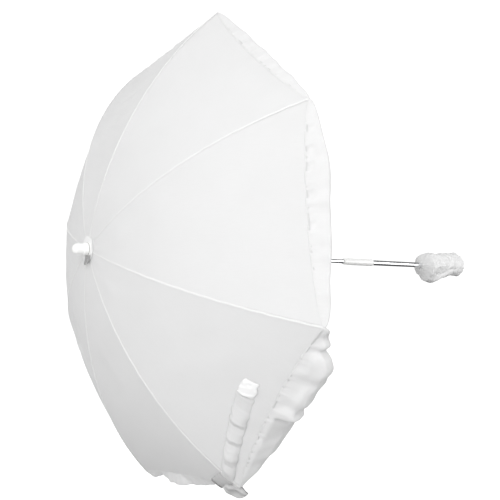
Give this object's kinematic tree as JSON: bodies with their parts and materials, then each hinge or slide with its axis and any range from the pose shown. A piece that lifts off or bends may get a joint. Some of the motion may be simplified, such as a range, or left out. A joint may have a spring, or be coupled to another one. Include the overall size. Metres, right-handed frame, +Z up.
{
  "type": "studio umbrella",
  "caption": "White folding photographic umbrella with a ribbed cloth dome, frilled hem, sliding runner and telescoping chrome shaft.",
  "frame": {"origin": "on the shaft's axis, in the middle of the bare stretch of the lower tube where a light stand's holder grips it", "axes": "+X along the shaft from the finial towards the wrapped end, +Z up"},
  "size_m": [0.8398, 0.7432, 0.7432],
  "materials": {
    "chrome_tube": "polished chrome plate",
    "white_plastic": "moulded white plastic, satin gloss",
    "frame_plastic": "moulded white nylon",
    "bush_plastic": "turned acetal",
    "washer_plastic": "white plastic disc",
    "rubber_ring": "thin dark rubber ring",
    "spring_wire": "drawn spring steel",
    "rib_steel": "rolled and plated steel channel",
    "rivet_steel": "set steel rivet",
    "canopy_cloth": "thin white translucent nylon, plain weave",
    "strap_cloth": "gathered white nylon over elastic",
    "strap_tab": "folded white nylon end",
    "wrap_film": "crumpled soft white film"
  },
  "bodies": {
    "lower_shaft": {"lower_tube": "chrome_tube", "collar": "white_plastic", "guide_bush": "bush_plastic", "end_cap": "white_plastic"},
    "upper_shaft": {"upper_tube": "chrome_tube", "stop_bush": "bush_plastic", "notch": "frame_plastic", "notch_wire": "spring_wire", "apex_washer": "washer_plastic", "rubber_ring": "rubber_ring", "finial": "white_plastic", "open_catch_spring": "spring_wire", "closed_catch_spring": "spring_wire"},
    "runner": {"runner": "frame_plastic"},
    "wrap": {"wrap": "wrap_film"},
    "open_catch": {"open_catch": "spring_wire"},
    "closed_catch": {"closed_catch": "spring_wire"},
    "rib_1": {"rib_1": "rib_steel", "rib_tip_1": "white_plastic", "rivet_1": "rivet_steel"},
    "stretcher_1": {"stretcher_1": "rib_steel"},
    "gore_1": {"gore_1": "canopy_cloth"},
    "rib_2": {"rib_2": "rib_steel", "rib_tip_2": "white_plastic", "rivet_2": "rivet_steel"},
    "stretcher_2": {"stretcher_2": "rib_steel"},
    "gore_2": {"gore_2": "canopy_cloth", "strap": "strap_cloth", "strap_tab": "strap_tab"},
    "rib_3": {"rib_3": "rib_steel", "rib_tip_3": "white_plastic", "rivet_3": "rivet_steel"},
    "stretcher_3": {"stretcher_3": "rib_steel"},
    "gore_3": {"gore_3": "canopy_cloth"},
    "rib_4": {"rib_4": "rib_steel", "rib_tip_4": "white_plastic", "rivet_4": "rivet_steel"},
    "stretcher_4": {"stretcher_4": "rib_steel"},
    "gore_4": {"gore_4": "canopy_cloth"},
    "rib_5": {"rib_5": "rib_steel", "rib_tip_5": "white_plastic", "rivet_5": "rivet_steel"},
    "stretcher_5": {"stretcher_5": "rib_steel"},
    "gore_5": {"gore_5": "canopy_cloth"},
    "rib_6": {"rib_6": "rib_steel", "rib_tip_6": "white_plastic", "rivet_6": "rivet_steel"},
    "stretcher_6": {"stretcher_6": "rib_steel"},
    "gore_6": {"gore_6": "canopy_cloth"},
    "rib_7": {"rib_7": "rib_steel", "rib_tip_7": "white_plastic", "rivet_7": "rivet_steel"},
    "stretcher_7": {"stretcher_7": "rib_steel"},
    "gore_7": {"gore_7": "canopy_cloth"},
    "rib_8": {"rib_8": "rib_steel", "rib_tip_8": "white_plastic", "rivet_8": "rivet_steel"},
    "stretcher_8": {"stretcher_8": "rib_steel"},
    "gore_8": {"gore_8": "canopy_cloth"}
  },
  "joints": [
    {"name": "telescope", "type": "slide", "parent": "lower_shaft", "child": "upper_shaft", "axis": [1, 0, 0], "range_m": [0, 0.1]},
    {"name": "runner_slide", "type": "slide", "parent": "upper_shaft", "child": "runner", "axis": [1, 0, 0], "range_m": [0, 0.23048]},
    {"name": "wrap_pull", "type": "slide", "parent": "lower_shaft", "child": "wrap", "axis": [1, 0, 0], "range_m": [0, 0.15]},
    {"name": "open_catch_press", "type": "slide", "parent": "upper_shaft", "child": "open_catch", "axis": [0, 0, -1], "range_m": [0, 0.0024], "stiffness_N_per_m": 300, "deforming": ["open_catch_spring"]},
    {"name": "closed_catch_press", "type": "slide", "parent": "upper_shaft", "child": "closed_catch", "axis": [0, 0, -1], "range_m": [0, 0.0024], "stiffness_N_per_m": 300, "deforming": ["closed_catch_spring"]},
    {"name": "rib_1_hinge", "type": "hinge", "parent": "upper_shaft", "child": "rib_1", "pos_m": [-0.61652, -0.00797, 0.00418], "axis": [0, 0.4648, 0.8854], "range_deg": [0, 64]},
    {"name": "stretcher_1_hinge", "type": "hinge", "parent": "rib_1", "child": "stretcher_1", "pos_m": [-0.58802, -0.15203, 0.07982], "axis": [0, -0.4648, -0.8854], "range_deg": [0, 115.38]},
    {"name": "gore_1_fold", "type": "hinge", "parent": "rib_1", "child": "gore_1", "pos_m": [-0.61317, -0.00392, 0.00036], "axis": [-0.5, -0.8625, 0.0785], "range_deg": [0, 46.8], "deforming": ["gore_1"]},
    {"name": "rib_2_hinge", "type": "hinge", "parent": "upper_shaft", "child": "rib_2", "pos_m": [-0.61652, -0.00859, -0.00268], "axis": [0, -0.2974, 0.9548], "range_deg": [0, 64]},
    {"name": "stretcher_2_hinge", "type": "hinge", "parent": "rib_2", "child": "stretcher_2", "pos_m": [-0.58802, -0.16394, -0.05106], "axis": [0, 0.2974, -0.9548], "range_deg": [0, 115.38]},
    {"name": "gore_2_fold", "type": "hinge", "parent": "rib_2", "child": "gore_2", "pos_m": [-0.61317, -0.00303, -0.00252], "axis": [-0.5, -0.6654, -0.5544], "range_deg": [0, 46.8], "deforming": ["gore_2", "strap", "strap_tab"]},
    {"name": "rib_3_hinge", "type": "hinge", "parent": "upper_shaft", "child": "rib_3", "pos_m": [-0.61652, -0.00418, -0.00797], "axis": [0, -0.8854, 0.4648], "range_deg": [0, 64]},
    {"name": "stretcher_3_hinge", "type": "hinge", "parent": "rib_3", "child": "stretcher_3", "pos_m": [-0.58802, -0.07982, -0.15203], "axis": [0, 0.8854, -0.4648], "range_deg": [0, 115.38]},
    {"name": "gore_3_fold", "type": "hinge", "parent": "rib_3", "child": "gore_3", "pos_m": [-0.61317, -0.00036, -0.00392], "axis": [-0.5, -0.0785, -0.8625], "range_deg": [0, 46.8], "deforming": ["gore_3"]},
    {"name": "rib_4_hinge", "type": "hinge", "parent": "upper_shaft", "child": "rib_4", "pos_m": [-0.61652, 0.00268, -0.00859], "axis": [0, -0.9548, -0.2974], "range_deg": [0, 64]},
    {"name": "stretcher_4_hinge", "type": "hinge", "parent": "rib_4", "child": "stretcher_4", "pos_m": [-0.58802, 0.05106, -0.16394], "axis": [0, 0.9548, 0.2974], "range_deg": [0, 115.38]},
    {"name": "gore_4_fold", "type": "hinge", "parent": "rib_4", "child": "gore_4", "pos_m": [-0.61317, 0.00252, -0.00303], "axis": [-0.5, 0.5544, -0.6654], "range_deg": [0, 46.8], "deforming": ["gore_4"]},
    {"name": "rib_5_hinge", "type": "hinge", "parent": "upper_shaft", "child": "rib_5", "pos_m": [-0.61652, 0.00797, -0.00418], "axis": [0, -0.4648, -0.8854], "range_deg": [0, 64]},
    {"name": "stretcher_5_hinge", "type": "hinge", "parent": "rib_5", "child": "stretcher_5", "pos_m": [-0.58802, 0.15203, -0.07982], "axis": [0, 0.4648, 0.8854], "range_deg": [0, 115.38]},
    {"name": "gore_5_fold", "type": "hinge", "parent": "rib_5", "child": "gore_5", "pos_m": [-0.61317, 0.00392, -0.00036], "axis": [-0.5, 0.8625, -0.0785], "range_deg": [0, 46.8], "deforming": ["gore_5"]},
    {"name": "rib_6_hinge", "type": "hinge", "parent": "upper_shaft", "child": "rib_6", "pos_m": [-0.61652, 0.00859, 0.00268], "axis": [0, 0.2974, -0.9548], "range_deg": [0, 64]},
    {"name": "stretcher_6_hinge", "type": "hinge", "parent": "rib_6", "child": "stretcher_6", "pos_m": [-0.58802, 0.16394, 0.05106], "axis": [0, -0.2974, 0.9548], "range_deg": [0, 115.38]},
    {"name": "gore_6_fold", "type": "hinge", "parent": "rib_6", "child": "gore_6", "pos_m": [-0.61317, 0.00303, 0.00252], "axis": [-0.5, 0.6654, 0.5544], "range_deg": [0, 46.8], "deforming": ["gore_6"]},
    {"name": "rib_7_hinge", "type": "hinge", "parent": "upper_shaft", "child": "rib_7", "pos_m": [-0.61652, 0.00418, 0.00797], "axis": [0, 0.8854, -0.4648], "range_deg": [0, 64]},
    {"name": "stretcher_7_hinge", "type": "hinge", "parent": "rib_7", "child": "stretcher_7", "pos_m": [-0.58802, 0.07982, 0.15203], "axis": [0, -0.8854, 0.4648], "range_deg": [0, 115.38]},
    {"name": "gore_7_fold", "type": "hinge", "parent": "rib_7", "child": "gore_7", "pos_m": [-0.61317, 0.00036, 0.00392], "axis": [-0.5, 0.0785, 0.8625], "range_deg": [0, 46.8], "deforming": ["gore_7"]},
    {"name": "rib_8_hinge", "type": "hinge", "parent": "upper_shaft", "child": "rib_8", "pos_m": [-0.61652, -0.00268, 0.00859], "axis": [0, 0.9548, 0.2974], "range_deg": [0, 64]},
    {"name": "stretcher_8_hinge", "type": "hinge", "parent": "rib_8", "child": "stretcher_8", "pos_m": [-0.58802, -0.05106, 0.16394], "axis": [0, -0.9548, -0.2974], "range_deg": [0, 115.38]},
    {"name": "gore_8_fold", "type": "hinge", "parent": "rib_8", "child": "gore_8", "pos_m": [-0.61317, -0.00252, 0.00303], "axis": [-0.5, -0.5544, 0.6654], "range_deg": [0, 46.8], "deforming": ["gore_8"]}
  ],
  "couplings": [
    {"joint": "rib_1_hinge", "follows": "runner_slide", "rad_per_m": 4.8466},
    {"joint": "stretcher_1_hinge", "follows": "runner_slide", "rad_per_m": 8.7371},
    {"joint": "gore_1_fold", "follows": "runner_slide", "rad_per_m": 3.5441},
    {"joint": "rib_2_hinge", "follows": "runner_slide", "rad_per_m": 4.8466},
    {"joint": "stretcher_2_hinge", "follows": "runner_slide", "rad_per_m": 8.7371},
    {"joint": "gore_2_fold", "follows": "runner_slide", "rad_per_m": 3.5441},
    {"joint": "rib_3_hinge", "follows": "runner_slide", "rad_per_m": 4.8466},
    {"joint": "stretcher_3_hinge", "follows": "runner_slide", "rad_per_m": 8.7371},
    {"joint": "gore_3_fold", "follows": "runner_slide", "rad_per_m": 3.5441},
    {"joint": "rib_4_hinge", "follows": "runner_slide", "rad_per_m": 4.8466},
    {"joint": "stretcher_4_hinge", "follows": "runner_slide", "rad_per_m": 8.7371},
    {"joint": "gore_4_fold", "follows": "runner_slide", "rad_per_m": 3.5441},
    {"joint": "rib_5_hinge", "follows": "runner_slide", "rad_per_m": 4.8466},
    {"joint": "stretcher_5_hinge", "follows": "runner_slide", "rad_per_m": 8.7371},
    {"joint": "gore_5_fold", "follows": "runner_slide", "rad_per_m": 3.5441},
    {"joint": "rib_6_hinge", "follows": "runner_slide", "rad_per_m": 4.8466},
    {"joint": "stretcher_6_hinge", "follows": "runner_slide", "rad_per_m": 8.7371},
    {"joint": "gore_6_fold", "follows": "runner_slide", "rad_per_m": 3.5441},
    {"joint": "rib_7_hinge", "follows": "runner_slide", "rad_per_m": 4.8466},
    {"joint": "stretcher_7_hinge", "follows": "runner_slide", "rad_per_m": 8.7371},
    {"joint": "gore_7_fold", "follows": "runner_slide", "rad_per_m": 3.5441},
    {"joint": "rib_8_hinge", "follows": "runner_slide", "rad_per_m": 4.8466},
    {"joint": "stretcher_8_hinge", "follows": "runner_slide", "rad_per_m": 8.7371},
    {"joint": "gore_8_fold", "follows": "runner_slide", "rad_per_m": 3.5441}
  ]
}
